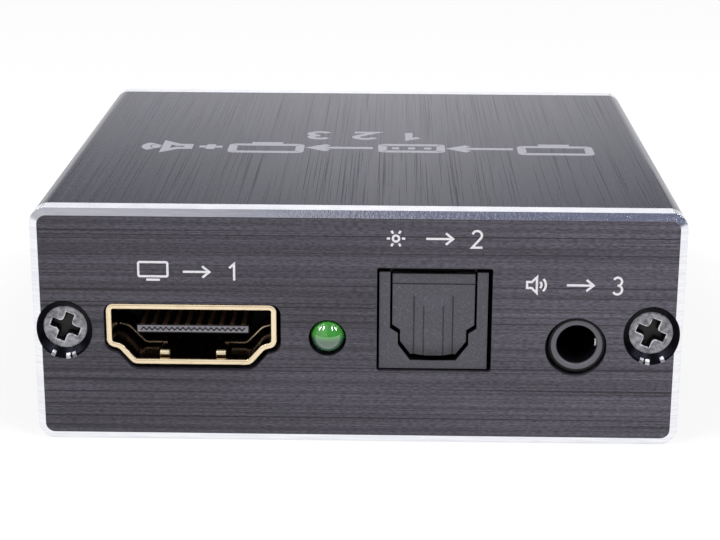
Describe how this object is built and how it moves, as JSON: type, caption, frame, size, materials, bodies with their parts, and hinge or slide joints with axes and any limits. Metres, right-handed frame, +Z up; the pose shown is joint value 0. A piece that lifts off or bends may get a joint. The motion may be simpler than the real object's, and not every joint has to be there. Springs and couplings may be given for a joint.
{
  "type": "audio extractor box",
  "caption": "Small brushed black metal box that takes in a digital video signal and gives it on, with its sound on an optical and a round audio socket.",
  "frame": {"origin": "centre of the flat underside of the sleeve, on the surface that the box stands on", "axes": "+Z up, -Y out of the output face (video, lamp, optical, audio), +X to the right as that face is seen"},
  "size_m": [0.057, 0.0554, 0.0214],
  "materials": {
    "black_anodised_sleeve": "black anodised, brushed front to back",
    "black_anodised_plate": "black anodised, brushed across, bare bright bevel",
    "black_zinc_steel": "black zinc plated, satin",
    "gold_plated_shell": "gold plated, polished",
    "contact_metal": "gold flashed copper alloy",
    "tinned_leads": "tinned",
    "black_moulding": "moulded, fine texture",
    "grey_black_moulding": "moulded, satin",
    "spring_steel": "drawn wire",
    "clear_epoxy": "cast, clear",
    "green_lens": "tinted epoxy, clear",
    "green_board": "glass epoxy with green solder mask",
    "chip_moulding": "moulded epoxy, matt",
    "nickel_can": "drawn can, plated",
    "aluminium_can": "drawn, satin",
    "ferrite": "pressed ferrite, matt",
    "ceramic": "fired ceramic, tinned ends"
  },
  "bodies": {
    "housing": {"audio_chip": "chip_moulding", "audio_chip_leads": "tinned_leads", "audio_jack_body": "black_moulding", "audio_jack_contacts": "tinned_leads", "capacitor_cans": "aluminium_can", "ceramic_capacitors": "ceramic", "circuit_board": "green_board", "crystal_can": "nickel_can", "front_plate": "black_anodised_plate", "front_plate_screws": "black_zinc_steel", "housing_sleeve": "black_anodised_sleeve", "memory_chip": "chip_moulding", "memory_chip_leads": "tinned_leads", "mode_switch_base": "black_moulding", "mode_switch_frame": "tinned_leads", "mode_switch_pins": "tinned_leads", "optical_emitter": "clear_epoxy", "optical_housing": "grey_black_moulding", "optical_leads": "tinned_leads", "optical_shutter_pin": "spring_steel", "power_inductor": "ferrite", "power_jack_body": "black_moulding", "power_jack_leaf": "tinned_leads", "power_jack_pin": "tinned_leads", "rear_plate": "black_anodised_plate", "rear_plate_screws": "black_zinc_steel", "status_lamp_leads": "tinned_leads", "status_lamp_lens": "green_lens", "video_chip": "chip_moulding", "video_chip_leads": "tinned_leads", "video_in_contacts": "contact_metal", "video_in_insulator": "black_moulding", "video_in_shell": "gold_plated_shell", "video_out_contacts": "contact_metal", "video_out_insulator": "black_moulding", "video_out_shell": "gold_plated_shell", "voltage_regulator": "chip_moulding", "voltage_regulator_leads": "tinned_leads"},
    "shutter": {"optical_shutter": "grey_black_moulding", "optical_shutter_spring": "spring_steel"},
    "slider": {"mode_switch_knob": "black_moulding", "mode_switch_bridge": "contact_metal"}
  },
  "joints": [
    {"name": "shutter_hinge", "type": "hinge", "parent": "housing", "child": "shutter", "pos_m": [0.00667, -0.02475, 0.0146], "axis": [1, 0, 0], "range_deg": [0, 85], "stiffness_Nm_per_rad": 0.00002, "springref_deg": -17.19},
    {"name": "mode_slide", "type": "slide", "parent": "housing", "child": "slider", "axis": [1, 0, 0], "range_m": [-0.002, 0.002]}
  ]
}
